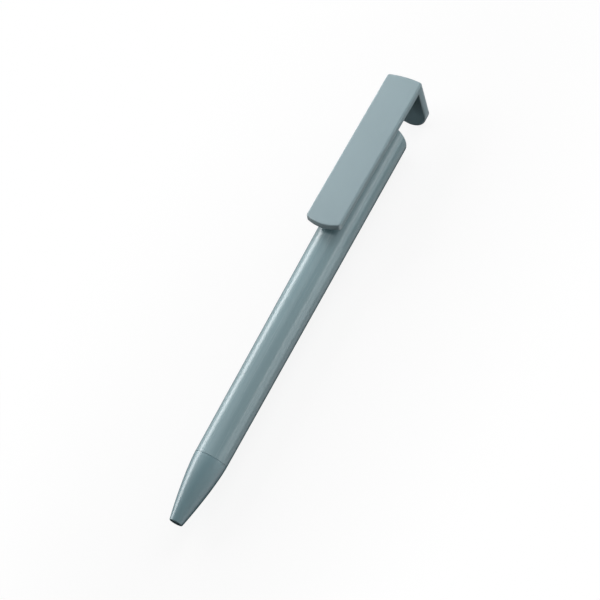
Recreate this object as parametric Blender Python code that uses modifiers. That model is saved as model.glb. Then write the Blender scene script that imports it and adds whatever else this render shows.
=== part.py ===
"""Ballpoint pen with a sliding clip whose hooked end props up a phone.

Every piece is drawn about the pen's own axis: Z runs from the nose to the hook, Y points to the clip
and X runs across it. One empty lays that axis along world X, with the clip up and the lowest edge of
the hook at height zero. All lengths are metres, all angles degrees.
"""

import math

import bmesh
import bpy
from mathutils import Matrix

# Barrel: a tapered tube, open at the nose and closed by a slanted end that backs the phone
BARREL_LENGTH = 0.1104
BARREL_SEAM_DIAMETER = 0.0102
BARREL_END_DIAMETER = 0.0115
BARREL_BORE = 0.0084
BARREL_END_SLANT = 17.0
BARREL_END_ROUND = 0.0005
BARREL_END_WALL = 0.0013
SEAM_CHAMFER = 0.00015

# Nose cone, screwed into the barrel by its spigot
NOSE_LENGTH = 0.0210
NOSE_END_DIAMETER = 0.0041
NOSE_CURVE = 1.5
NOSE_END_ROUND = 0.0003
NOSE_MOUTH_RIM = 0.0001
NOSE_MOUTH_DEPTH = 0.0010
SPIGOT_LENGTH = 0.0095
SPIGOT_WALL = 0.0010
SPIGOT_LEAD = 0.0006
SPRING_SHOULDER = 0.0080
CHAMBER_LENGTH = 0.0030

# Clip: a flat plate that splays from the barrel and turns down into a hook
CLIP_LENGTH = 0.0518
CLIP_WIDTH = 0.0127
CLIP_THICKNESS = 0.0019
CLIP_GAP = 0.0004
CLIP_SPLAY = 1.45
CLIP_EDGE_ROUND = 0.0005
LEAST_EDGE_ROUND = 0.0001
CLIP_CORNER_RADIUS = 0.0007
FREE_END_CROWN = 0.0012
FREE_END_SLANT = 28.0
PHONE_SLOT = 0.0101
HOOK_SLANT = 22.0
HOOK_THICKNESS = 0.00245
HOOK_CROWN = 0.00045
HOOK_REACH = 0.0067
HOOK_END_ROUND = 0.0055
HOOK_FILLET = 0.0002

# Rib under the clip, snapped into the slider through the barrel's slot
RIB_WIDTH = 0.0024
RIB_LENGTH = 0.0086
RIB_SETBACK = 0.0024
RIB_DEPTH = 0.0030
BARB_HEIGHT = 0.0010
BARB_REACH = 0.0004
SLOT_CORNER = 0.0004

# Slider: head in the bore, keyed shank with crown teeth
PRESS_TRAVEL = 0.0055
HEAD_LENGTH = 0.0138
SHANK_LENGTH = 0.0108
SHANK_DIAMETER = 0.0060
KEY_LENGTH = 0.0040
KEY_WIDTH = 0.0010
KEY_HEIGHT = 0.00035
CROWN_DEPTH = 0.0010
CROWN_TEETH = 8

# Rotor: turns half a tooth each press and carries the refill's tail
ROTOR_DIAMETER = 0.0056
ROTOR_LENGTH = 0.0070
FIN_HEIGHT = 0.0007
FIN_LENGTH = 0.0036
FIN_RELEASE = 0.0006
PILOT_DIAMETER = 0.0030
PILOT_LENGTH = 0.0030
SOCKET_DEPTH = 0.0045

# Refill
POINT_RECESS = 0.0015
BALL_DIAMETER = 0.0010
POINT_DIAMETER = 0.0023
POINT_CONE_LENGTH = 0.0030
POINT_LIP = 0.00008
POINT_MOUTH = 50.0
POINT_INK_BORE = 0.0006
POINT_PLUG_LENGTH = 0.0030
REFILL_DIAMETER = 0.0030
REFILL_BORE = 0.0022
EAR_SETBACK = 0.0280
EAR_LENGTH = 0.0025
EAR_THICKNESS = 0.0007
INK_LENGTH = 0.0700

# Return spring
WIRE_DIAMETER = 0.0004
SPRING_TURNS = 9
CLOSED_TURNS = 1

# Clearances
SEAT_GAP = 0.00015
RUNNING_GAP = 0.0001
PRESS_GAP = 0.00005
SLOT_GAP = 0.0002
BALL_GAP = 0.00002
SPRING_GAP = 0.00025
TUBE_STOP_GAP = 0.0005

# Facets
ROUND_STEPS = 48
SMALL_STEPS = 32
TINY_STEPS = 16
ARC_STEPS = 3
NOSE_STEPS = 12
CLIP_STATIONS = 24
COIL_STEPS = 12
WIRE_STEPS = 2
SMOOTH_ANGLE = 35.0
ROUND_PROFILE = 0.5
MERGE = 0.0000005

# Places along the axis, from the nose end
SEAM = NOSE_LENGTH
BARREL_END = SEAM + BARREL_LENGTH
SLANT_SLOPE = math.tan(math.radians(BARREL_END_SLANT))
BORE_END = BARREL_END - SLANT_SLOPE * BARREL_BORE / 2 - BARREL_END_WALL
SLIDER_TOP = BORE_END - SEAT_GAP
HEAD_BOTTOM = SLIDER_TOP - HEAD_LENGTH
CROWN_TIP = HEAD_BOTTOM - SHANK_LENGTH
SLEEVE_TOP = HEAD_BOTTOM - PRESS_TRAVEL - SEAT_GAP
SLEEVE_BOTTOM = CROWN_TIP - PRESS_TRAVEL + FIN_RELEASE
ROTOR_TOP = CROWN_TIP - SEAT_GAP
ROTOR_BOTTOM = ROTOR_TOP - ROTOR_LENGTH
REFILL_TAIL = ROTOR_BOTTOM + SOCKET_DEPTH - SEAT_GAP
BALL_CENTRE = POINT_RECESS + BALL_DIAMETER / 2
TUBE_FRONT = SPRING_SHOULDER + PRESS_TRAVEL + TUBE_STOP_GAP
RIB_TOP = SLIDER_TOP - RIB_SETBACK
RIB_BOTTOM = RIB_TOP - RIB_LENGTH

# Where the sleeve's grooves lie round the axis
GROOVE_ANGLES = [360 * i / CROWN_TEETH for i in range(CROWN_TEETH)]

# Radii that follow from the sizes above
BORE_RADIUS = BARREL_BORE / 2
SHANK_RADIUS = SHANK_DIAMETER / 2
KEY_RADIUS = SHANK_RADIUS + KEY_HEIGHT
FIN_RADIUS = SHANK_RADIUS + FIN_HEIGHT
SPIGOT_RADIUS = BORE_RADIUS - RUNNING_GAP
SPRING_RADIUS = REFILL_DIAMETER / 2 + SPRING_GAP + WIRE_DIAMETER / 2
CHAMBER_RADIUS = SPRING_RADIUS + WIRE_DIAMETER / 2 + SPRING_GAP
GUIDE_RADIUS = POINT_DIAMETER / 2 + RUNNING_GAP

# Clip lines in the side view
SPLAY_SLOPE = math.tan(math.radians(CLIP_SPLAY))
HOOK_SLOPE = math.tan(math.radians(HOOK_SLANT))
FREE_END_SLOPE = math.tan(math.radians(FREE_END_SLANT))
PLATE_RISE = CLIP_THICKNESS / math.cos(math.radians(CLIP_SPLAY))

# Outline planes: where an outline's two directions and its thickness lie
SIDE_VIEW = Matrix(((0, 0, 1, 0), (0, 1, 0, 0), (1, 0, 0, 0), (0, 0, 0, 1)))
PLAN_VIEW = Matrix(((1, 0, 0, 0), (0, 0, 1, 0), (0, 1, 0, 0), (0, 0, 0, 1)))

# Colour, roughness and metallic value of each kind of material
BODY_FINISH = ((0.27, 0.36, 0.39), 0.33, 0.0)
MECHANISM_FINISH = ((0.80, 0.80, 0.78), 0.47, 0.0)
TUBE_FINISH = ((0.78, 0.82, 0.84), 0.40, 0.0)
INK_FINISH = ((0.01, 0.02, 0.12), 0.20, 0.0)
STEEL_FINISH = ((0.62, 0.62, 0.63), 0.25, 1.0)
BRASS_FINISH = ((0.72, 0.60, 0.34), 0.25, 1.0)


def clear_scene():
    """Remove whatever the scene holds."""
    for obj in list(bpy.data.objects):
        bpy.data.objects.remove(obj, do_unlink=True)


def new_collection(name):
    """A collection in the scene."""
    collection = bpy.data.collections.new(name)
    bpy.context.scene.collection.children.link(collection)
    return collection


def make_material(name, colour, roughness, metallic):
    """A plain shaded material."""
    material = bpy.data.materials.new(name)
    material.use_nodes = True
    shader = material.node_tree.nodes["Principled BSDF"]
    shader.inputs["Base Color"].default_value = (*colour, 1.0)
    shader.inputs["Roughness"].default_value = roughness
    shader.inputs["Metallic"].default_value = metallic
    return material


def axis_empty():
    """The empty that lays the pen's axis along world X, clip up."""
    empty = bpy.data.objects.new("pen_axis", None)
    empty.rotation_euler = (math.pi / 2, 0, math.pi / 2)
    empty.location = (-pen_length() / 2, 0, HOOK_REACH)
    PARTS.objects.link(empty)
    return empty


def add_object(name, data, collection):
    """An object about the pen's axis."""
    obj = bpy.data.objects.new(name, data)
    obj.parent = AXIS
    collection.objects.link(obj)
    return obj


def as_cutter(obj):
    """Marks an object as a tool for cutting or joining, not a piece."""
    obj.hide_render = True
    obj.display_type = "WIRE"
    return obj


def finish(obj, material):
    """Gives a piece its material and smooth shading on its round faces."""
    obj.data.materials.clear()
    obj.data.materials.append(material)
    if obj.type == "MESH" and obj.data.polygons:
        obj.data.shade_smooth()
        obj.data.set_sharp_from_angle(angle=math.radians(SMOOTH_ANGLE))
    return obj


def turned(name, profile, steps, closed=True, collection=None):
    """A profile of (radius, height) turned about the axis; it runs down its outer side."""
    mesh = bpy.data.meshes.new(name)
    points = [(radius, 0, height) for radius, height in profile]
    edges = [(i, i + 1) for i in range(len(points) - 1)]
    if closed:
        edges.append((len(points) - 1, 0))
    mesh.from_pydata(points, edges, [])
    obj = add_object(name, mesh, collection or PARTS)
    screw = obj.modifiers.new("turn", "SCREW")
    screw.axis = "Z"
    screw.steps = steps
    screw.render_steps = steps
    screw.use_merge_vertices = True
    screw.merge_threshold = MERGE
    screw.use_smooth_shade = True
    return obj


def evaluated_mesh(obj):
    """The mesh that an object's modifiers or bevel make of it."""
    depsgraph = bpy.context.evaluated_depsgraph_get()
    return bpy.data.meshes.new_from_object(obj.evaluated_get(depsgraph))


def freeze(obj):
    """Turns an object's modifiers into plain mesh, for work on single edges and points."""
    mesh = evaluated_mesh(obj)
    obj.modifiers.clear()
    obj.data = mesh
    return obj


def prism_mesh(name, loops, thickness, place):
    """Filled outlines drawn out to a thickness, half each way, and put in their plane."""
    curve = bpy.data.curves.new(name, "CURVE")
    curve.dimensions = "2D"
    curve.fill_mode = "BOTH"
    curve.extrude = thickness / 2
    for loop in loops:
        spline = curve.splines.new("POLY")
        spline.points.add(len(loop) - 1)
        for point, (u, v) in zip(spline.points, loop):
            point.co = (u, v, 0, 1)
        spline.use_cyclic_u = True
    drawn = bpy.data.objects.new(name, curve)
    TOOLS.objects.link(drawn)
    mesh = evaluated_mesh(drawn)
    bpy.data.objects.remove(drawn)
    form = bmesh.new()
    form.from_mesh(mesh)
    bmesh.ops.remove_doubles(form, verts=form.verts, dist=MERGE)
    form.transform(place)
    form.normal_update()
    bmesh.ops.recalc_face_normals(form, faces=form.faces)
    form.to_mesh(mesh)
    form.free()
    return mesh


def radial_prisms(name, outline, inner, outer, angles):
    """Prisms of one outline of (across, height), standing out from the axis at each angle."""
    form = bmesh.new()
    middle = Matrix.Translation((0, (inner + outer) / 2, 0))
    for angle in angles:
        turn = Matrix.Rotation(math.radians(angle), 4, "Z")
        form.from_mesh(prism_mesh(name, [outline], outer - inner, turn @ middle @ PLAN_VIEW))
    mesh = bpy.data.meshes.new(name)
    form.to_mesh(mesh)
    form.free()
    return as_cutter(add_object(name, mesh, TOOLS))


def boolean(obj, tool, operation):
    """Cuts a piece with a tool, or joins the tool to it."""
    modifier = obj.modifiers.new(tool.name, "BOOLEAN")
    modifier.object = tool
    modifier.operation = operation
    return obj


def arc(centre, radius, start, end, steps):
    """Points on an arc from one angle to another, both ends included."""
    turns = [math.radians(start + (end - start) * i / steps) for i in range(steps + 1)]
    return [(centre[0] + radius * math.cos(t), centre[1] + radius * math.sin(t)) for t in turns]


def box_outline(width, low, high):
    """A rectangle of the given width about the middle, between two heights."""
    half = width / 2
    return [(-half, low), (half, low), (half, high), (-half, high)]


def triangle_wave(turns):
    """Rises from 0 to 1 and falls back once in each turn."""
    part = turns % 1.0
    return 1.0 - abs(2.0 * part - 1.0)


def tooth_phase(vert):
    """How many teeth round the axis a point lies."""
    return math.atan2(vert.co.y, vert.co.x) / math.tau * CROWN_TEETH


def barrel_radius(height):
    """Outer radius of the tapered barrel at a place along the axis."""
    share = (height - SEAM) / BARREL_LENGTH
    return (BARREL_SEAM_DIAMETER + (BARREL_END_DIAMETER - BARREL_SEAM_DIAMETER) * share) / 2


def make_barrel():
    """Tapered tube with a slanted closed end and the slot for the clip's rib."""
    past_end = BARREL_END + SLANT_SLOPE * BARREL_END_DIAMETER
    profile = [
        (0, past_end),
        (barrel_radius(past_end), past_end),
        (barrel_radius(SEAM + SEAM_CHAMFER), SEAM + SEAM_CHAMFER),
        (barrel_radius(SEAM) - SEAM_CHAMFER, SEAM),
        (0, SEAM),
    ]
    barrel = freeze(turned("barrel", profile, ROUND_STEPS, closed=False))
    form = bmesh.new()
    form.from_mesh(barrel.data)
    cut = bmesh.ops.bisect_plane(
        form,
        geom=form.verts[:] + form.edges[:] + form.faces[:],
        plane_co=(0, 0, BARREL_END),
        plane_no=(0, -SLANT_SLOPE, 1),
        clear_outer=True,
        dist=MERGE,
    )
    rim = [item for item in cut["geom_cut"] if isinstance(item, bmesh.types.BMEdge)]
    bmesh.ops.edgeloop_fill(form, edges=rim)
    bmesh.ops.bevel(
        form,
        geom=rim,
        offset=BARREL_END_ROUND,
        offset_type="OFFSET",
        segments=ARC_STEPS,
        profile=ROUND_PROFILE,
        affect="EDGES",
    )
    bmesh.ops.recalc_face_normals(form, faces=form.faces)
    form.to_mesh(barrel.data)
    form.free()
    below = SEAM - BARREL_END_WALL
    bore_profile = [(0, BORE_END), (BORE_RADIUS, BORE_END), (BORE_RADIUS, below), (0, below)]
    bore = as_cutter(turned("barrel_bore", bore_profile, ROUND_STEPS, closed=False, collection=TOOLS))
    slot_low = RIB_BOTTOM - PRESS_TRAVEL - SLOT_GAP
    corners = box_outline(RIB_WIDTH + 2 * SLOT_GAP, slot_low, RIB_TOP + SLOT_GAP)
    outline = rounded(corners, [SLOT_CORNER] * len(corners))
    slot = radial_prisms("barrel_slot", outline, SHANK_RADIUS, BARREL_END_DIAMETER, [0])
    boolean(barrel, bore, "DIFFERENCE")
    boolean(barrel, slot, "DIFFERENCE")
    return barrel


def nose_radius(height):
    """Outer radius of the nose: full at the seam, closing faster towards the point."""
    share = (NOSE_LENGTH - height) / NOSE_LENGTH
    drop = (BARREL_SEAM_DIAMETER - NOSE_END_DIAMETER) / 2
    return BARREL_SEAM_DIAMETER / 2 - drop * share**NOSE_CURVE


def make_nose_cone():
    """Pointed nose with a threaded spigot, the spring's shoulder and the point's exit."""
    shoulder = NOSE_LENGTH - SEAT_GAP
    spigot_top = SEAM + SPIGOT_LENGTH
    spigot_bore = SPIGOT_RADIUS - SPIGOT_WALL
    outer = [
        (spigot_bore, spigot_top),
        (SPIGOT_RADIUS - SPIGOT_LEAD, spigot_top),
        (SPIGOT_RADIUS, spigot_top - SPIGOT_LEAD),
        (SPIGOT_RADIUS, shoulder),
        (nose_radius(shoulder) - SEAM_CHAMFER, shoulder),
    ]
    curve_top = shoulder - SEAM_CHAMFER
    for i in range(NOSE_STEPS + 1):
        height = curve_top + (NOSE_END_ROUND - curve_top) * i / NOSE_STEPS
        outer.append((nose_radius(height), height))
    outer.append((nose_radius(0) - NOSE_END_ROUND, 0))
    chamber_top = SPRING_SHOULDER + CHAMBER_LENGTH
    mouth = nose_radius(0) - NOSE_END_ROUND - NOSE_MOUTH_RIM
    inner = [
        (mouth, 0),
        (mouth, NOSE_MOUTH_DEPTH),
        (GUIDE_RADIUS, NOSE_MOUTH_DEPTH),
        (GUIDE_RADIUS, SPRING_SHOULDER),
        (CHAMBER_RADIUS, SPRING_SHOULDER),
        (CHAMBER_RADIUS, chamber_top),
        (spigot_bore, SEAM),
    ]
    return turned("nose_cone", outer + inner, ROUND_STEPS)


def meet(first, second):
    """Where two lines of the side view cross, each line as a point and a direction."""
    (az, ay), (adz, ady) = first
    (bz, by), (bdz, bdy) = second
    share = ((bz - az) * bdy - (by - ay) * bdz) / (adz * bdy - ady * bdz)
    return az + adz * share, ay + ady * share


def clip_face(height):
    """The clip's underside, as a line of the side view raised from it."""
    return (BARREL_END, BARREL_END_DIAMETER / 2 + CLIP_GAP + height), (-1, SPLAY_SLOPE)


def hook_face(depth):
    """The hook's inner face, as a line of the side view moved out from it."""
    out = depth / math.cos(math.radians(HOOK_SLANT))
    return (BARREL_END + PHONE_SLOT + out, 0), (HOOK_SLOPE, 1)


def crown(across, sagitta):
    """How far an arc of the clip's width has fallen back from its middle."""
    return sagitta * (2 * across / CLIP_WIDTH) ** 2


def quarter_fall(across, radius):
    """How far a corner of the given radius has fallen back at a place across the clip."""
    past = max(0.0, abs(across) - (CLIP_WIDTH / 2 - radius))
    return radius - math.sqrt(max(0.0, radius**2 - past**2))


def free_end_face(across):
    """The clip's slanted free end, as a line of the side view, at a place across the clip."""
    bend = meet(clip_face(PLATE_RISE), hook_face(HOOK_THICKNESS + HOOK_CROWN))
    edge = bend[0] - CLIP_LENGTH + crown(across, FREE_END_CROWN) + quarter_fall(across, CLIP_CORNER_RADIUS)
    return meet(clip_face(PLATE_RISE), ((edge, 0), (0, 1))), (FREE_END_SLOPE, 1)


def rounded(corners, radii):
    """A polygon with each corner replaced by an arc of its radius."""
    points = []
    for i, (corner, radius) in enumerate(zip(corners, radii)):
        before = corners[i - 1]
        after = corners[(i + 1) % len(corners)]
        back = unit(before, corner)
        ahead = unit(after, corner)
        half = math.acos(max(-1.0, min(1.0, back[0] * ahead[0] + back[1] * ahead[1]))) / 2
        middle = (back[0] + ahead[0], back[1] + ahead[1])
        size = math.hypot(*middle)
        reach = radius / math.sin(half)
        centre = (corner[0] + middle[0] / size * reach, corner[1] + middle[1] / size * reach)
        run = radius / math.tan(half)
        start = (corner[0] + back[0] * run, corner[1] + back[1] * run)
        first = math.atan2(start[1] - centre[1], start[0] - centre[0])
        turn = math.pi - 2 * half
        if back[0] * ahead[1] - back[1] * ahead[0] > 0:
            turn = -turn
        for step in range(ARC_STEPS + 1):
            angle = first + turn * step / ARC_STEPS
            points.append((centre[0] + radius * math.cos(angle), centre[1] + radius * math.sin(angle)))
    return points


def unit(point, origin):
    """Direction of one point from another."""
    dz = point[0] - origin[0]
    dy = point[1] - origin[1]
    size = math.hypot(dz, dy)
    return dz / size, dy / size


def clip_section(across):
    """Outline of the clip and hook in the side view at a place across the clip."""
    inset = quarter_fall(across, CLIP_EDGE_ROUND)
    hook_end = HOOK_REACH - HOOK_END_ROUND * (1 - math.sqrt(max(0.0, 1 - (2 * across / CLIP_WIDTH) ** 2)))
    (free_height, free_out), free_way = free_end_face(across)
    fall = crown(across, HOOK_CROWN) + quarter_fall(across, CLIP_CORNER_RADIUS)
    depth = HOOK_THICKNESS + HOOK_CROWN - fall
    lines = [
        clip_face(PLATE_RISE - inset),
        hook_face(depth - inset),
        ((0, -hook_end + inset), (1, 0)),
        hook_face(inset),
        clip_face(inset),
        ((free_height + inset, free_out), free_way),
    ]
    corners = [meet(lines[i], lines[(i + 1) % len(lines)]) for i in range(len(lines))]
    radii = [max(CLIP_EDGE_ROUND - inset, LEAST_EDGE_ROUND)] * len(corners)
    radii[3] = HOOK_FILLET + inset
    return rounded(corners, radii)


def pen_length():
    """From the nose end to the outermost point of the hook."""
    return max(height for height, _ in clip_section(0.0))


def make_clip():
    """Plate and hook lofted across the clip's width, with the snap rib joined under it."""
    form = bmesh.new()
    rings = []
    for i in range(CLIP_STATIONS + 1):
        across = -CLIP_WIDTH / 2 * math.cos(math.pi * i / CLIP_STATIONS)
        section = clip_section(across)
        rings.append([form.verts.new((across, out, height)) for height, out in section])
    for ring, following in zip(rings, rings[1:]):
        for j in range(len(ring)):
            form.faces.new((ring[j - 1], ring[j], following[j], following[j - 1]))
    form.faces.new(rings[0])
    form.faces.new(rings[-1])
    bmesh.ops.recalc_face_normals(form, faces=form.faces)
    mesh = bpy.data.meshes.new("clip")
    form.to_mesh(mesh)
    form.free()
    clip = add_object("clip", mesh, PARTS)
    rib = prism_mesh("clip_rib", [rib_outline(0.0)], RIB_WIDTH, SIDE_VIEW)
    return boolean(clip, as_cutter(add_object("clip_rib", rib, TOOLS)), "UNION")


def plate_middle(height):
    """Height above the axis of the middle of the clip's plate."""
    return meet(clip_face(PLATE_RISE / 2), ((height, 0), (0, 1)))[1]


def rib_outline(grow):
    """The rib with its two barbs in the side view, grown all round by a clearance."""
    foot = BORE_RADIUS - RIB_DEPTH - grow
    barb = foot + BARB_HEIGHT + 2 * grow
    low = RIB_BOTTOM - grow
    high = RIB_TOP + grow
    return [
        (low, plate_middle(low)),
        (low, barb),
        (low - BARB_REACH, barb),
        (low, foot),
        (high, foot),
        (high + BARB_REACH, barb),
        (high, barb),
        (high, plate_middle(high)),
    ]


def make_slider():
    """Plunger in the bore: a head that takes the clip's rib, and a keyed shank with crown teeth."""
    head_radius = BORE_RADIUS - RUNNING_GAP
    pilot_bore = PILOT_DIAMETER / 2 + RUNNING_GAP
    pilot_end = CROWN_TIP + PILOT_LENGTH + SEAT_GAP
    profile = [
        (0, SLIDER_TOP),
        (head_radius, SLIDER_TOP),
        (head_radius, HEAD_BOTTOM),
        (SHANK_RADIUS, HEAD_BOTTOM),
        (SHANK_RADIUS, CROWN_TIP),
        (pilot_bore, CROWN_TIP),
        (pilot_bore, pilot_end),
        (0, pilot_end),
    ]
    slider = freeze(turned("slider", profile, SMALL_STEPS, closed=False))
    for vert in slider.data.vertices:
        if vert.co.z < CROWN_TIP + MERGE:
            vert.co.z += CROWN_DEPTH * triangle_wave(tooth_phase(vert))
    key_low = CROWN_TIP + CROWN_DEPTH + SEAT_GAP
    outline = box_outline(KEY_WIDTH, key_low, key_low + KEY_LENGTH)
    keys = radial_prisms("slider_keys", outline, SHANK_RADIUS - KEY_HEIGHT, KEY_RADIUS, GROOVE_ANGLES)
    pocket_width = RIB_WIDTH + 2 * RUNNING_GAP
    pocket_mesh = prism_mesh("slider_pocket", [rib_outline(RUNNING_GAP)], pocket_width, SIDE_VIEW)
    pocket = as_cutter(add_object("slider_pocket", pocket_mesh, TOOLS))
    boolean(slider, keys, "UNION")
    boolean(slider, pocket, "DIFFERENCE")
    return slider


def sleeve_outline():
    """Inside of the cam sleeve: deep and shallow grooves in turn, with ridges between them."""
    ridge = SHANK_RADIUS + RUNNING_GAP
    half_width = KEY_WIDTH / 2 + RUNNING_GAP
    points = []
    for i, angle in enumerate(GROOVE_ANGLES):
        groove = (KEY_RADIUS, FIN_RADIUS)[(i + 1) % 2] + RUNNING_GAP
        for radius, side in ((ridge, -1), (groove, -1), (groove, 1), (ridge, 1)):
            turn = math.radians(angle) + side * math.asin(half_width / radius)
            points.append((-radius * math.sin(turn), radius * math.cos(turn)))
    return points


def make_cam_sleeve():
    """Fixed sleeve pressed in the bore, grooved inside and with saw teeth at its lower end."""
    radius = BORE_RADIUS - PRESS_GAP
    outside = arc((0, 0), radius, 0, 360 - 360 / ROUND_STEPS, ROUND_STEPS - 1)
    length = SLEEVE_TOP - SLEEVE_BOTTOM
    place = Matrix.Translation((0, 0, SLEEVE_BOTTOM + length / 2))
    mesh = prism_mesh("cam_sleeve", [outside, sleeve_outline()], length, place)
    for vert in mesh.vertices:
        if vert.co.z < SLEEVE_BOTTOM + MERGE:
            vert.co.z += CROWN_DEPTH * (tooth_phase(vert) % 1.0)
    return add_object("cam_sleeve", mesh, PARTS)


def make_rotor_cam():
    """Rotor with a toothed top, fins in the sleeve's deep grooves and a socket for the refill."""
    radius = ROTOR_DIAMETER / 2
    socket_radius = REFILL_DIAMETER / 2 + RUNNING_GAP
    socket_end = ROTOR_BOTTOM + SOCKET_DEPTH
    pilot_top = ROTOR_TOP + PILOT_LENGTH
    profile = [
        (0, pilot_top),
        (PILOT_DIAMETER / 2, pilot_top),
        (PILOT_DIAMETER / 2, ROTOR_TOP - CROWN_DEPTH),
        (radius, ROTOR_TOP - CROWN_DEPTH),
        (radius, ROTOR_BOTTOM),
        (socket_radius, ROTOR_BOTTOM),
        (socket_radius, socket_end),
        (0, socket_end),
    ]
    rotor = freeze(turned("rotor_cam", profile, SMALL_STEPS, closed=False))
    for vert in rotor.data.vertices:
        if abs(vert.co.z - (ROTOR_TOP - CROWN_DEPTH)) < MERGE:
            vert.co.z += CROWN_DEPTH * triangle_wave(tooth_phase(vert))
    fin_top = ROTOR_TOP - SEAT_GAP
    outline = [
        (-KEY_WIDTH / 2, fin_top - FIN_LENGTH),
        (KEY_WIDTH / 2, fin_top - FIN_LENGTH),
        (KEY_WIDTH / 2, fin_top),
        (-KEY_WIDTH / 2, fin_top - KEY_WIDTH),
    ]
    fins = radial_prisms("rotor_fins", outline, radius - FIN_HEIGHT, FIN_RADIUS, GROOVE_ANGLES[::2])
    return boolean(rotor, fins, "UNION")


def make_refill_tube():
    """Plastic ink tube with two pinched ears that carry the spring."""
    profile = [
        (REFILL_DIAMETER / 2, REFILL_TAIL),
        (REFILL_DIAMETER / 2, TUBE_FRONT),
        (REFILL_BORE / 2, TUBE_FRONT),
        (REFILL_BORE / 2, REFILL_TAIL),
    ]
    tube = turned("refill_tube", profile, SMALL_STEPS)
    outline = box_outline(EAR_THICKNESS, EAR_SETBACK, EAR_SETBACK + EAR_LENGTH)
    wall_middle = (REFILL_DIAMETER + REFILL_BORE) / 4
    ear_reach = SPRING_RADIUS + WIRE_DIAMETER / 2
    ears = radial_prisms("refill_ears", outline, wall_middle, ear_reach, (90, 270))
    return boolean(tube, ears, "UNION")


def make_refill_point():
    """Metal point: plug in the tube, shank, cone, and a seat rolled over the ball."""
    socket = BALL_DIAMETER / 2 + BALL_GAP
    plug = REFILL_BORE / 2 - PRESS_GAP
    plug_top = TUBE_FRONT + POINT_PLUG_LENGTH
    shank = POINT_DIAMETER / 2
    cone_top = POINT_RECESS + POINT_CONE_LENGTH
    seat_angle = math.degrees(math.acos(POINT_INK_BORE / 2 / socket))
    seat = arc((0, BALL_CENTRE), socket, -POINT_MOUTH, seat_angle, 2 * ARC_STEPS)
    mouth = seat[0]
    profile = [
        (plug, plug_top),
        (plug, TUBE_FRONT - SEAT_GAP),
        (shank, TUBE_FRONT - SEAT_GAP),
        (shank, cone_top),
        (socket + POINT_LIP, BALL_CENTRE),
        (mouth[0] + POINT_LIP, mouth[1]),
        *seat,
        (POINT_INK_BORE / 2, plug_top),
    ]
    return turned("refill_point", profile, TINY_STEPS)


def make_point_ball():
    """Writing ball, with its origin at its own centre."""
    form = bmesh.new()
    bmesh.ops.create_uvsphere(
        form,
        u_segments=TINY_STEPS,
        v_segments=TINY_STEPS // 2,
        radius=BALL_DIAMETER / 2,
    )
    mesh = bpy.data.meshes.new("point_ball")
    form.to_mesh(mesh)
    form.free()
    ball = add_object("point_ball", mesh, PARTS)
    ball.location = (0, 0, BALL_CENTRE)
    return ball


def make_ink_column():
    """Ink standing in the tube behind the point."""
    low = TUBE_FRONT + POINT_PLUG_LENGTH + SEAT_GAP
    radius = REFILL_BORE / 2 - PRESS_GAP
    profile = [(0, low + INK_LENGTH), (radius, low + INK_LENGTH), (radius, low), (0, low)]
    return turned("ink_column", profile, TINY_STEPS, closed=False)


def make_return_spring():
    """Coil between the nose's shoulder and the refill's ears, with closed end turns."""
    low = SPRING_SHOULDER + WIRE_DIAMETER / 2 + SEAT_GAP
    high = EAR_SETBACK - WIRE_DIAMETER / 2 - SEAT_GAP
    closed_rise = CLOSED_TURNS * (WIRE_DIAMETER + PRESS_GAP)
    turns = SPRING_TURNS + 2 * CLOSED_TURNS
    count = turns * COIL_STEPS
    curve = bpy.data.curves.new("return_spring", "CURVE")
    curve.dimensions = "3D"
    curve.bevel_depth = WIRE_DIAMETER / 2
    curve.bevel_resolution = WIRE_STEPS
    curve.use_fill_caps = True
    spline = curve.splines.new("POLY")
    spline.points.add(count)
    for i, point in enumerate(spline.points):
        turn = i / COIL_STEPS
        into = min(max(turn - CLOSED_TURNS, 0), SPRING_TURNS) / SPRING_TURNS
        ends = min(turn, CLOSED_TURNS) + max(turn - CLOSED_TURNS - SPRING_TURNS, 0)
        height = low + closed_rise * ends / CLOSED_TURNS + (high - low - 2 * closed_rise) * into
        angle = math.tau * turn
        point.co = (SPRING_RADIUS * math.cos(angle), SPRING_RADIUS * math.sin(angle), height, 1)
    return add_object("return_spring", curve, PARTS)


def build():
    """Makes every piece and gives each its own material."""
    pieces = (
        (make_barrel, BODY_FINISH),
        (make_nose_cone, BODY_FINISH),
        (make_clip, BODY_FINISH),
        (make_slider, MECHANISM_FINISH),
        (make_cam_sleeve, MECHANISM_FINISH),
        (make_rotor_cam, MECHANISM_FINISH),
        (make_return_spring, STEEL_FINISH),
        (make_refill_tube, TUBE_FINISH),
        (make_refill_point, BRASS_FINISH),
        (make_point_ball, STEEL_FINISH),
        (make_ink_column, INK_FINISH),
    )
    for make, surface in pieces:
        piece = make()
        finish(piece, make_material(piece.name, *surface))


clear_scene()
PARTS = new_collection("phone_stand_pen")
TOOLS = new_collection("cutters")
AXIS = axis_empty()
build()
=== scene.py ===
"""Finishes a retractable ballpoint pen with a phone-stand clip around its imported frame.

The frame gives every piece's place and motion. This script lays the moulded, turned and wound surfaces
over it, gives each its material, and sets up the studio and the camera. All lengths are metres. A place on
the pen is told as along, from the nose end; out, from the axis towards the clip; and across the clip.
"""

import logging
import math
from abc import ABC, abstractmethod
from dataclasses import dataclass
from enum import Enum
from functools import cached_property

import bmesh
import bpy
import numpy as np
from mathutils import Matrix, Vector


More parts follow.
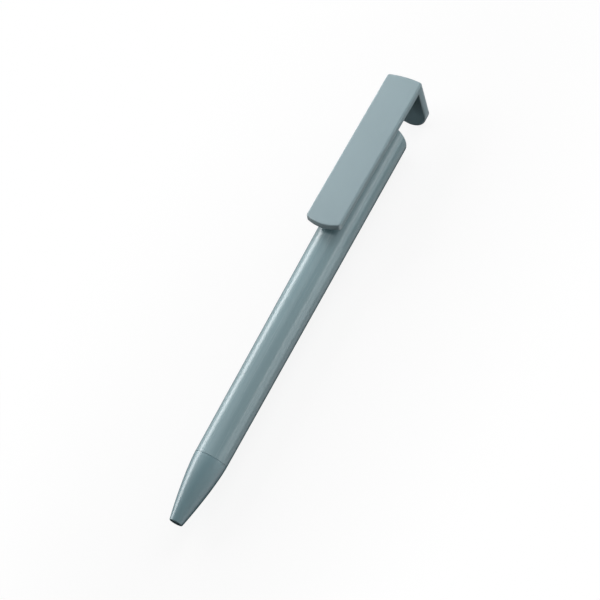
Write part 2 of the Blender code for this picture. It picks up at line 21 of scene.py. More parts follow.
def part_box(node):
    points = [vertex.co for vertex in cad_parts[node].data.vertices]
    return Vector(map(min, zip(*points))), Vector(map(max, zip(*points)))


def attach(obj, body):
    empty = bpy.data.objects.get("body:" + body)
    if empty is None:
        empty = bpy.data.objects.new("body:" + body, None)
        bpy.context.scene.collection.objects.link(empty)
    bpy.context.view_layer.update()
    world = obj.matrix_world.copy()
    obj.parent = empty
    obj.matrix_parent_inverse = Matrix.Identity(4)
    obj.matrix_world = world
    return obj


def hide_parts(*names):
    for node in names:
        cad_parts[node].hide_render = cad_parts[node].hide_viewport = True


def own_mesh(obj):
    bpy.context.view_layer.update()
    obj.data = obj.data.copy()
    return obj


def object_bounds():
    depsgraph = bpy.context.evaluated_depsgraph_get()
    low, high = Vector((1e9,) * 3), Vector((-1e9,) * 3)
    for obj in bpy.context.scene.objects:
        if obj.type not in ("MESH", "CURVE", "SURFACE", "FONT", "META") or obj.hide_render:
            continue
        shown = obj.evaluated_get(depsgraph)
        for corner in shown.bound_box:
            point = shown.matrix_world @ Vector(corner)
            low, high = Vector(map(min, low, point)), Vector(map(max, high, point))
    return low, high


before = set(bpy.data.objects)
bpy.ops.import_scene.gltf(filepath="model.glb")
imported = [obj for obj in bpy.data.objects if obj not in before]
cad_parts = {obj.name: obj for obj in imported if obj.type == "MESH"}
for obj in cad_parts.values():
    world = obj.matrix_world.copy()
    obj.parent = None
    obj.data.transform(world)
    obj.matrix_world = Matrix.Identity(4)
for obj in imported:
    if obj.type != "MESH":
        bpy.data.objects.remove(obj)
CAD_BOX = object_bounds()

Array = np.ndarray
Lengths = Array | float
Span = tuple[float, float]
Triple = tuple[float, float, float]
Socket = bpy.types.NodeSocket
SocketValue = Socket | float | tuple[float, ...]

MERGE_DISTANCE = 0.0000002
SHARP_ANGLE = 32.0
EDGE_LAYER = "edge"

log = logging.getLogger("phone_stand_pen")


class Wrap(Enum):
    """Which ways a grid of points joins up with itself: along its rows and along its columns."""

    ROUND = (False, True)
    RING = (True, True)


class Cut(Enum):
    """What one solid does to another."""

    AWAY = "DIFFERENCE"
    JOIN = "UNION"


@dataclass(frozen=True)
class PenAxis:
    """The pen's own axes in the frame.

    Attributes:
        nose: frame x of the nose end.
        height: frame z of the axis.
    """

    nose: float
    height: float

    @classmethod
    def from_frame(cls) -> "PenAxis":
        """Reads the axis from the nose cone's place in the frame."""
        low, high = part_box("nose_cone")
        return cls(low.x, (low.z + high.z) / 2)

    def place(self, along: Lengths, across: Lengths, out: Lengths) -> Array:
        """Points of the frame, with x, y and z in the last place, from places on the pen."""
        along, across, out = np.broadcast_arrays(along, across, out)
        return np.stack([self.nose + along, across, self.height + out], axis=-1)

    def turned(self, along: Array, radius: Array, turns: Array) -> Array:
        """A profile turned about the axis: its radius swings round by angles that start towards the clip."""
        return self.place(along, radius * np.sin(turns), radius * np.cos(turns))


def full_turn(steps: int) -> Array:
    """Evenly spaced angles once round, without the last that meets the first."""
    return np.linspace(0.0, math.tau, steps, endpoint=False)


def put_in(name: str, data: bpy.types.ID) -> bpy.types.Object:
    """Makes an object and puts it in the scene.

    Args:
        name: the object's name.
        data: its mesh, lamp or camera.

    Returns:
        The object.
    """
    thing = bpy.data.objects.new(name, data)
    bpy.context.scene.collection.objects.link(thing)
    return thing


def grid_mesh(
    name: str, points: Array, wrap: Wrap, capped: bool = False, edge: Array | None = None
) -> bpy.types.Mesh:
    """Makes a closed mesh of a grid of points.

    Neighbouring rows and columns are joined by four-sided faces, rows that shrink to a point become poles,
    and the faces are turned outwards.

    Args:
        name: the mesh's name.
        points: the grid, rows by columns by three.
        wrap: which ways the grid closes on itself.
        capped: whether the first and last rows are filled with a flat face.
        edge: how far each point lies on a rounded edge, from 0 to 1.

    Returns:
        The mesh.
    """
    rows, columns = points.shape[:2]
    index = np.arange(rows * columns).reshape(rows, columns)
    caps = [index[0].tolist(), index[-1].tolist()] if capped else []
    if wrap.value[0]:
        index = np.vstack([index, index[:1]])
    if wrap.value[1]:
        index = np.hstack([index, index[:, :1]])
    corners = (index[:-1, :-1], index[1:, :-1], index[1:, 1:], index[:-1, 1:])
    quads = np.stack(corners, axis=-1).reshape(-1, 4)
    mesh = bpy.data.meshes.new(name)
    mesh.from_pydata(points.reshape(-1, 3), [], quads.tolist() + caps)
    layer = mesh.attributes.new(EDGE_LAYER, "FLOAT", "POINT")
    # The rounded-edge share drives a painted highlight in the plastic's colour, and glossier rubbed edges.
    rub_and_sheen = np.zeros((rows, columns)) if edge is None else np.broadcast_to(edge, (rows, columns))
    layer.data.foreach_set("value", rub_and_sheen.astype(np.float32).ravel())
    form = bmesh.new()
    form.from_mesh(mesh)
    bmesh.ops.remove_doubles(form, verts=form.verts, dist=MERGE_DISTANCE)
    bmesh.ops.recalc_face_normals(form, faces=form.faces)
    form.to_mesh(mesh)
    form.free()
    return mesh


def combined(mesh: bpy.types.Mesh, tool: bpy.types.Mesh, cut: Cut) -> bpy.types.Mesh:
    """One closed mesh cut by another or joined to it.

    Args:
        mesh: the solid that is worked on.
        tool: the solid that cuts it or joins it.
        cut: which of the two is done.

    Returns:
        The resulting mesh, under the first one's name.
    """
    solid, other = (put_in(form.name, form) for form in (mesh, tool))
    modifier = solid.modifiers.new("cut", "BOOLEAN")
    modifier.object = other
    modifier.operation = cut.value
    modifier.solver = "EXACT"
    graph = bpy.context.evaluated_depsgraph_get()
    result = bpy.data.meshes.new_from_object(solid.evaluated_get(graph))
    for thing in (solid, other):
        bpy.data.objects.remove(thing)
    result.name = mesh.name
    return result


def corner_arc(before: Array, corner: Array, after: Array, run: Lengths, steps: int) -> Array:
    """Rounds corners with arcs of circles.

    Each arc is a rational quadratic curve between two points at one distance from the corner, on its two
    sides. With the sine of half the corner's angle as the corner's weight it is part of a circle.

    Args:
        before: a point on the side that runs into each corner, two numbers in the last place.
        corner: the corners.
        after: a point on the side that leaves each corner.
        run: distance of the arc's ends from the corner.
        steps: how many pieces each arc has.

    Returns:
        The arcs' points, with the steps in the first place.
    """
    back = before - corner
    ahead = after - corner
    back = back / np.linalg.norm(back, axis=-1, keepdims=True)
    ahead = ahead / np.linalg.norm(ahead, axis=-1, keepdims=True)
    half_sine = np.sqrt((1 - (back * ahead).sum(axis=-1, keepdims=True)) / 2)
    t = np.linspace(0.0, 1.0, steps + 1).reshape((-1,) + (1,) * corner.ndim)
    weight = 2 * t * (1 - t) * half_sine
    sides = (1 - t) ** 2 * (corner + run * back) + t**2 * (corner + run * ahead)
    return (sides + weight * corner) / ((1 - t) ** 2 + weight + t**2)


def rounded_ring(corners: Array, radii: Array, arc_steps: int, shares: Array) -> tuple[Array, Array]:
    """Rounds every corner of closed outlines and puts extra points on their straight sides.

    An arc's ends lie its radius over the tangent of half the corner's angle from the corner.

    Args:
        corners: the outlines' corners, corner by outline by two.
        radii: the corners' radii, corner by outline.
        arc_steps: how many pieces each arc has.
        shares: where the extra points lie on a side, as shares of it.

    Returns:
        The points, point by outline by two, and how far each lies on a rounded edge.
    """
    before = np.roll(corners, 1, axis=0)
    after = np.roll(corners, -1, axis=0)
    back = before - corners
    ahead = after - corners
    lengths = np.linalg.norm(back, axis=-1) * np.linalg.norm(ahead, axis=-1)
    half = np.arccos((back * ahead).sum(axis=-1) / lengths) / 2
    run = (radii / np.tan(half))[..., None]
    arcs = corner_arc(before, corners, after, run, arc_steps)
    starts = arcs[-1]
    ends = np.roll(arcs[0], -1, axis=0)
    sides = starts + (ends - starts) * shares[:, None, None, None]
    ring = np.concatenate([arcs, sides]).swapaxes(0, 1)
    on_edge = np.concatenate([np.sin(np.linspace(0, math.pi, arc_steps + 1)), np.zeros(len(shares))])
    points = ring.reshape(-1, *corners.shape[1:])
    return points, np.tile(on_edge, len(corners))


def grey(value: float) -> tuple[float, float, float, float]:
    """A grey of one brightness, as a shader's colour."""
    return (value, value, value, 1.0)


class Bench:
    """One node tree, built by short calls."""

    MIDDLE = (0.3, 0.7)

    def __init__(self, owner: bpy.types.Material | bpy.types.World) -> None:
        """Starts on the nodes that a new material or world has.

        Args:
            owner: the material or the world.
        """
        owner.use_nodes = True
        self.owner = owner
        self.tree = owner.node_tree

    @classmethod
    def for_material(cls, name: str) -> "Bench":
        """A bench for a new material."""
        return cls(bpy.data.materials.new(name))

    @cached_property
    def place(self) -> Socket:
        """The place on the piece that patterns are laid by."""
        return self.add("ShaderNodeTexCoord").outputs["Object"]

    def feed(self, socket: Socket, value: SocketValue) -> None:
        """Links a socket to another, or sets its own value.

        Args:
            socket: the input.
            value: the socket that it is linked to, or its value.
        """
        if isinstance(value, Socket):
            self.tree.links.new(value, socket)
        else:
            socket.default_value = value

    def add(
        self, kind: str, inputs: dict[str | int, SocketValue] | None = None, **settings: str
    ) -> bpy.types.Node:
        """Adds a node.

        Args:
            kind: the node's type.
            inputs: values or sockets for its inputs, by the input's name or number.
            settings: the node's own settings.

        Returns:
            The node.
        """
        node = self.tree.nodes.new(kind)
        for name, value in settings.items():
            setattr(node, name, value)
        for name, value in (inputs or {}).items():
            self.feed(node.inputs[name], value)
        return node

    def noise(self, size: float, detail: float = 3.0, stretch: Triple = (1.0, 1.0, 1.0)) -> Socket:
        """Soft random pattern.

        Args:
            size: how wide its patches are.
            detail: how many finer layers it has.
            stretch: how much longer the patches are along each axis.

        Returns:
            Its value socket, from 0 to 1 about a half.
        """
        scale = tuple(1.0 / s for s in stretch)
        moved = self.add("ShaderNodeMapping", {"Vector": self.place, "Scale": scale}).outputs["Vector"]
        inputs = {"Vector": moved, "Scale": 1.0 / size, "Detail": detail}
        return self.add("ShaderNodeTexNoise", inputs).outputs[0]

    def spread(self, value: Socket, start: Span, end: Span, **settings: str) -> Socket:
        """A value carried from one span to another.

        Args:
            value: the value.
            start: the span that it is read over.
            end: the span that it is spread to.
            settings: the node's own settings.

        Returns:
            The spread value's socket.
        """
        inputs = {"Value": value}
        for name, (low, high) in (("From", start), ("To", end)):
            inputs.update({f"{name} Min": low, f"{name} Max": high})
        return self.add("ShaderNodeMapRange", inputs, **settings).outputs["Result"]

    def between(self, value: Socket, low: float, high: float) -> Socket:
        """A pattern's middle stretch spread from a low to a high value."""
        return self.spread(value, self.MIDDLE, (low, high))

    def sum(self, first: SocketValue, second: SocketValue, scale: float = 1.0) -> Socket:
        """The first value, scaled, plus the second."""
        node = self.add("ShaderNodeMath", {0: first, 1: scale, 2: second}, operation="MULTIPLY_ADD")
        return node.outputs["Value"]

    def shade(self, colour: Triple, value: Socket) -> None:
        """Sets the base colour, made lighter or darker by a value about 1."""
        shaded = self.add("ShaderNodeHueSaturation", {"Color": (*colour, 1.0), "Value": value})
        self.set(Base_Color=shaded.outputs["Color"])

    def relief(self, height: Socket, depth: float, under: Socket | None = None) -> Socket:
        """A bump, over another if there is one.

        Args:
            height: the pattern that it follows.
            depth: its depth.
            under: the bump beneath it.

        Returns:
            The bumped normal's socket.
        """
        inputs = {"Height": height, "Distance": depth, "Strength": 1.0}
        if under is not None:
            inputs["Normal"] = under
        return self.add("ShaderNodeBump", inputs).outputs["Normal"]

    def set(self, **values: SocketValue) -> None:
        """Sets the principled shader's sockets, with underscores for the spaces in their names."""
        for name, value in values.items():
            self.feed(self.tree.nodes["Principled BSDF"].inputs[name.replace("_", " ")], value)


@dataclass(frozen=True)
class Finish(ABC):
    """What every finish has.

    Attributes:
        name: the material's name.
        slot: the record's material slot, not used.
        colour: its linear colour.
        roughness: its middle roughness.
    """

    name: str
    slot: str
    colour: Triple
    roughness: float

    @abstractmethod
    def dress(self, bench: Bench) -> None:
        """Lays the finish's patterns on its material's bench."""

    def cover(self, mesh: bpy.types.Mesh) -> None:
        """Makes the finish's material and gives a mesh that one alone.

        Args:
            mesh: the mesh.
        """
        bench = Bench.for_material(self.name)
        self.dress(bench)
        mesh.materials.clear()
        mesh.materials.append(bench.owner)


@dataclass(frozen=True)
class MouldedPlastic(Finish):
    """Coloured plastic from a polished or finely eroded mould.

    Attributes:
        cloud: how far its colour drifts, as a share.
        polish: how far its roughness varies.
        grain: width of the mould's texture.
        grain_depth: depth of that texture.
        edge_highlight: how much lighter its rounded edges are painted, as a painted highlight.
        bend: its refractive index, which sets how strongly it mirrors.
    """

    cloud: float = 0.03
    polish: float = 0.008
    grain: float = 0.0003
    grain_depth: float = 0.000001
    edge_highlight: float = 0.06
    bend: float = 1.5

    CLOUD_SIZE = 0.02
    RUB_SIZE = 0.0008
    RUB_STRETCH = (30.0, 1.0, 1.0)
    SINK_SIZE = 0.006
    SINK_DEPTH = 0.0000015

    def dress(self, bench: Bench) -> None:
        """Flow clouds and a painted highlight on rounded edges in the colour, long rubbed streaks in the
        gloss, faint sink waves and fine grain.

        Args:
            bench: the material's bench.
        """
        edge = bench.add("ShaderNodeAttribute", attribute_name=EDGE_LAYER).outputs["Fac"]
        cloud = bench.between(bench.noise(self.CLOUD_SIZE), 1.0 - self.cloud, 1.0 + self.cloud)
        # Painted highlight: the colour is lighter on rounded edges, where light catches them.
        bench.shade(self.colour, bench.sum(edge, cloud, self.edge_highlight))
        rubbed = bench.noise(self.RUB_SIZE, stretch=self.RUB_STRETCH)
        rubbed = bench.between(rubbed, self.roughness - self.polish, self.roughness + self.polish)
        waves = bench.relief(bench.noise(self.SINK_SIZE, detail=1.0), self.SINK_DEPTH)
        grain = bench.relief(bench.noise(self.grain), self.grain_depth, waves)
        bench.set(Roughness=bench.sum(edge, rubbed, -self.polish), Normal=grain, IOR=self.bend)


@dataclass(frozen=True)
class MilkyPlastic(Finish):
    """Uncoloured plastic of the inner pieces, slightly cloudy.

    Attributes:
        glow: how much light goes into it and out again.
    """

    glow: float = 0.15

    CLOUD_SIZE = 0.003
    CLOUD = 0.05
    WAX_SIZE = 0.0004
    WAX_DEPTH = 0.000002
    GLOW_DEPTH = 0.001
    BEND = 1.48

    def dress(self, bench: Bench) -> None:
        """Cloudy white with a fine waxy surface.

        Args:
            bench: the material's bench.
        """
        cloud = bench.noise(self.CLOUD_SIZE)
        bench.shade(self.colour, bench.between(cloud, 1.0 - self.CLOUD, 1.0 + self.CLOUD))
        bench.set(Roughness=bench.between(cloud, self.roughness + self.CLOUD, self.roughness - self.CLOUD))
        bench.set(Normal=bench.relief(bench.noise(self.WAX_SIZE), self.WAX_DEPTH))
        bench.set(Subsurface_Weight=self.glow, Subsurface_Scale=self.GLOW_DEPTH, IOR=self.BEND)


@dataclass(frozen=True)
class WorkedMetal(Finish):
    """Metal that was turned, drawn or polished.

    Attributes:
        ridge: distance between tool marks along the pen.
        ridge_depth: depth of the tool marks.
    """

    ridge: float
    ridge_depth: float

    TARNISH_SIZE = 0.0008
    TARNISH = 0.08
    DULL = 1.4
    BRIGHT = 0.7
    WANDER = 0.6

    def dress(self, bench: Bench) -> None:
        """Tool marks across the pen's length, with a slight tarnish in colour and gloss.

        Args:
            bench: the material's bench.
        """
        tarnish = bench.noise(self.TARNISH_SIZE)
        bench.shade(self.colour, bench.between(tarnish, 1.0 - self.TARNISH, 1.0 + self.TARNISH))
        bench.set(Roughness=bench.between(tarnish, self.roughness * self.DULL, self.roughness * self.BRIGHT))
        inputs = {"Vector": bench.place, "Scale": 1.0 / self.ridge, "Distortion": self.WANDER}
        marks = bench.add("ShaderNodeTexWave", inputs, wave_type="BANDS", bands_direction="X")
        bench.set(Normal=bench.relief(marks.outputs["Fac"], self.ridge_depth), Metallic=1.0)


@dataclass(frozen=True)
class PasteInk(Finish):
    """Thick dark ink that wets its tube."""

    STREAK_SIZE = 0.001
    STREAK_STRETCH = (12.0, 1.0, 1.0)
    STREAK_DEPTH = 0.00001
    SHADES = (0.6, 1.4)
    GLOSSES = (0.7, 1.5)

    def dress(self, bench: Bench) -> None:
        """Long streaks where the ink clings to the wall.

        Args:
            bench: the material's bench.
        """
        streak = bench.noise(self.STREAK_SIZE, stretch=self.STREAK_STRETCH)
        bench.shade(self.colour, bench.between(streak, *self.SHADES))
        bench.set(Roughness=bench.between(streak, *(self.roughness * share for share in self.GLOSSES)))
        bench.set(Normal=bench.relief(streak, self.STREAK_DEPTH))


BODY_COLOUR = (0.232, 0.350, 0.384)
CLIP_COLOUR = (0.221, 0.315, 0.347)
NOSE_COLOUR = (0.142, 0.254, 0.290)
BARREL_PLASTIC = MouldedPlastic("barrel_plastic", "barrel_plastic", BODY_COLOUR, 0.27, grain_depth=0.0000001)
NOSE_PLASTIC = MouldedPlastic(
    "nose_plastic", "nose_plastic", NOSE_COLOUR, 0.31, grain_depth=0.0000002, bend=1.62
)
CLIP_PLASTIC = MouldedPlastic("clip_plastic", "clip_plastic", CLIP_COLOUR, 0.30)
ACETAL = MilkyPlastic("acetal", "mechanism_plastic", (0.78, 0.78, 0.75), 0.45)
TUBE_PLASTIC = MilkyPlastic("tube_plastic", "refill_plastic", (0.72, 0.77, 0.79), 0.35, glow=0.4)
SPRING_WIRE = WorkedMetal("spring_wire", "spring_steel", (0.60, 0.60, 0.61), 0.25, 0.00012, 0.0000015)
BRASS = WorkedMetal("turned_brass", "point_metal", (0.72, 0.58, 0.32), 0.22, 0.00009, 0.000002)
HARD_METAL = WorkedMetal("hard_metal", "ball_metal", (0.50, 0.51, 0.53), 0.14, 0.00005, 0.0000005)
INK = PasteInk("paste_ink", "ink", (0.008, 0.016, 0.10), 0.18)


def add_piece(name: str, mesh: bpy.types.Mesh, body: str, node: str, finish: Finish) -> bpy.types.Object:
    """Puts a finished mesh on its body in place of a node of the frame.

    Args:
        name: the piece's name.
        mesh: its mesh, already in place.
        body: the body that it rides on.
        node: the node that it stands for.
        finish: its finish.

    Returns:
        The piece.
    """
    mesh.shade_smooth()
    mesh.set_sharp_from_angle(angle=math.radians(SHARP_ANGLE))
    finish.cover(mesh)
    piece = put_in(name, mesh)
    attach(piece, body)
    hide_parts(node)
    log.info("%s: %d faces on %s, for %s", name, len(mesh.polygons), body, node)
    return piece


@dataclass
class Barrel:
    """Tapered tube with a slanted closed end and a slot for the clip's rib."""

    axis: PenAxis
    finish: Finish
    seam: float = 0.0210
    length: float = 0.1104
    seam_diameter: float = 0.0102
    end_diameter: float = 0.0115
    bore: float = 0.0084
    end_slant: float = 17.0
    end_round: float = 0.0005
    end_wall: float = 0.0013
    seam_chamfer: float = 0.00005
    slot_width: float = 0.0028
    slot_length: float = 0.0145
    slot_setback: float = 0.00235
    slot_corner: float = 0.0004
    slot_floor: float = 0.0030
    around: int = 192
    rim_steps: int = 10
    wall_rings: int = 50
    slot_steps: int = 6

    # Where rings lie on the end face and on the wall, and points on the slot's sides, as shares of each
    FACE_SHARES = (0.0, 0.35, 0.7, 0.9, 0.98)
    FIRST_WALL_SHARE = 0.0005
    SECOND_WALL_SHARE = 0.02
    SLOT_SHARES = (0.5,)

    @property
    def end(self) -> float:
        """Place of the slanted end on the axis."""
        return self.seam + self.length

    @property
    def slope(self) -> float:
        """How far the slanted end rises for each metre out."""
        return math.tan(math.radians(self.end_slant))

    @property
    def bore_end(self) -> float:
        """Place of the bore's flat end."""
        return self.end - self.slope * self.bore / 2 - self.end_wall

    @property
    def taper(self) -> float:
        """How far the radius grows for each metre along."""
        return (self.end_diameter - self.seam_diameter) / self.length / 2

    def radius(self, along: Lengths) -> Lengths:
        """Outer radius of the taper, a straight line from the seam to the end."""
        return self.seam_diameter / 2 + self.taper * (along - self.seam)

    def rim(self, turns: Array) -> Array:
        """Corner between the wall and the slanted end at each angle.

        The end lies at its axis place plus slope times radius times the angle's cosine, and the wall's
        radius grows in a straight line with along, so the corner's radius is the wall's radius at the axis
        place over one less the product of both slopes and the cosine.

        Args:
            turns: the angles about the axis.

        Returns:
            The corner's place along and its radius at each angle.
        """
        radius = self.radius(self.end) / (1 - self.taper * self.slope * np.cos(turns))
        return np.stack([self.end + self.slope * radius * np.cos(turns), radius], axis=-1)

    def wall(self) -> tuple[Array, Array]:
        """The closed tube as a grid: end face, rounded rim, wall, seam edge, bore and bore end.

        Returns:
            The points and how far each lies on a rounded edge.
        """
        turns = full_turn(self.around)
        foot_along = self.seam + self.seam_chamfer
        foot = np.broadcast_to([foot_along, self.radius(foot_along)], (self.around, 2))
        middle = np.broadcast_to([self.end, 0.0], (self.around, 2))
        arc = corner_arc(middle, self.rim(turns), foot, self.end_round, self.rim_steps)
        face = middle + (arc[0] - middle) * np.array(self.FACE_SHARES)[:, None, None]
        wall_shares = np.linspace(self.SECOND_WALL_SHARE, 1.0, self.wall_rings)
        wall_shares = np.insert(wall_shares, 0, self.FIRST_WALL_SHARE)[:, None, None]
        side = arc[-1] + (foot - arc[-1]) * wall_shares
        bore = self.bore / 2
        inner = np.array(
            [
                (self.seam, self.radius(self.seam) - self.seam_chamfer),
                (self.seam, bore),
                (self.bore_end, bore),
                (self.bore_end, 0.0),
            ]
        )
        inner = np.broadcast_to(inner[:, None, :], (len(inner), self.around, 2))
        grid = np.concatenate([face, arc, side, inner])
        edge = np.concatenate([np.zeros(len(face)), np.ones(len(arc)), np.zeros(len(side) + len(inner))])
        return self.axis.turned(grid[..., 0], grid[..., 1], turns), edge[:, None]

    def slot(self) -> Array:
        """The slot's cutter: a rounded rectangle drawn out from inside the bore past the wall.

        Returns:
            The cutter's points, level by outline.
        """
        high = self.bore_end - self.slot_setback
        low = high - self.slot_length
        half = self.slot_width / 2
        corners = np.array([(low, -half), (high, -half), (high, half), (low, half)])[:, None, :]
        radii = np.full(corners.shape[:2], self.slot_corner)
        outline, _ = rounded_ring(corners, radii, self.slot_steps, np.array(self.SLOT_SHARES))
        levels = np.array([self.slot_floor, self.end_diameter])[:, None]
        return self.axis.place(outline[None, :, 0, 0], outline[None, :, 0, 1], levels)

    def build(self) -> None:
        """Makes the barrel on the pen's body."""
        points, edge = self.wall()
        tube = grid_mesh("barrel_shell", points, Wrap.ROUND, edge=edge)
        slot = grid_mesh("rib_slot", self.slot(), Wrap.ROUND, capped=True)
        mesh = combined(tube, slot, Cut.AWAY)
        add_piece("barrel_shell", mesh, "pen_body", "barrel", self.finish)


@dataclass
class NoseCone:
    """Pointed nose with a threaded spigot, a shoulder for the spring and an exit for the point."""

    axis: PenAxis
    finish: Finish
    length: float = 0.0210
    end_diameter: float = 0.0041
    seam_diameter: float = 0.0102
    curve: float = 1.5
    end_round: float = 0.0003
    mouth_rim: float = 0.0001
    mouth_depth: float = 0.0010
    seam_gap: float = 0.00004
    seam_chamfer: float = 0.00005
    spigot_length: float = 0.0095
    spigot_radius: float = 0.0041
    spigot_bore: float = 0.0031
    spigot_lead: float = 0.0006
    thread_start: float = 0.0012
    thread_length: float = 0.0070
    thread_pitch: float = 0.0010
    thread_depth: float = 0.00035
    thread_fade: float = 0.125
    shoulder: float = 0.0080
    chamber_length: float = 0.0030
    chamber_radius: float = 0.0024
    guide_radius: float = 0.00125
    around: int = 160
    thread_rings: int = 113
    skin_rings: int = 64
    tip_steps: int = 8

    @property
    def top(self) -> float:
        """Place of the shoulder that meets the barrel."""
        return self.length - self.seam_gap

    @property
    def thread_low(self) -> float:
        """Place of the thread's lower end."""
        return self.top + self.thread_start

    def radius(self, along: Lengths) -> Lengths:
        """Outer radius: full at the seam, less a drop that grows with a power of the way to the end."""
        share = (self.length - along) / self.length
        return self.seam_diameter / 2 - (self.seam_diameter - self.end_diameter) / 2 * share**self.curve

    def profile(self) -> Array:
        """Outline of the turned nose, once round its wall.

        Returns:
            The outline's points as along and radius.
        """
        spigot_top = self.length + self.spigot_length
        thread_high = self.thread_low + self.thread_length
        thread_along = np.linspace(thread_high, self.thread_low, self.thread_rings)
        thread = np.stack([thread_along, np.full_like(thread_along, self.spigot_radius)], axis=-1)
        skin_along = np.linspace(self.top - self.seam_chamfer, self.end_round, self.skin_rings)
        skin = np.stack([skin_along, self.radius(skin_along)], axis=-1)
        tip = np.array([[0.0, self.radius(0.0)]])
        mouth = np.array([[0.0, self.radius(0.0) - self.end_round - self.mouth_rim]])
        tip_arc = corner_arc(skin[-1:], tip, mouth, self.end_round, self.tip_steps)[:, 0]
        lead_in = np.array(
            [
                (spigot_top, self.spigot_bore),
                (spigot_top, self.spigot_radius - self.spigot_lead),
                (spigot_top - self.spigot_lead, self.spigot_radius),
            ]
        )
        collar_edge = self.radius(self.top) - self.seam_chamfer
        collar = np.array([(self.top, self.spigot_radius), (self.top, collar_edge)])
        inside = np.array(
            [
                (self.mouth_depth, mouth[0, 1]),
                (self.mouth_depth, self.guide_radius),
                (self.shoulder, self.guide_radius),
                (self.shoulder, self.chamber_radius),
                (self.shoulder + self.chamber_length, self.chamber_radius),
                (self.length, self.spigot_bore),
            ]
        )
        return np.concatenate([lead_in, thread, collar, skin, tip_arc, mouth, inside])

    def build(self) -> None:
        """Makes the nose on its own body, with the thread cut into its spigot.

        The thread takes its depth from the spigot's radius by a raised cosine of the turns gone by, which
        are along over pitch less the angle, and fades over a share of its length at both ends.
        """
        turns = full_turn(self.around)
        profile = self.profile()
        along = np.broadcast_to(profile[:, :1], (len(profile), self.around))
        share = np.clip((along - self.thread_low) / self.thread_length, 0.0, 1.0)
        fade = np.clip(np.minimum(share, 1 - share) / self.thread_fade, 0.0, 1.0)
        phase = along / self.thread_pitch - turns / math.tau
        groove = (0.5 - 0.5 * np.cos(math.tau * phase)) * fade
        on_spigot = np.isclose(profile[:, 1:], self.spigot_radius)
        radius = profile[:, 1:] - np.where(on_spigot, self.thread_depth * groove, 0.0)
        mesh = grid_mesh("nose_skin", self.axis.turned(along, radius, turns), Wrap.RING)
        add_piece("nose_skin", mesh, "nose", "nose_cone", self.finish)


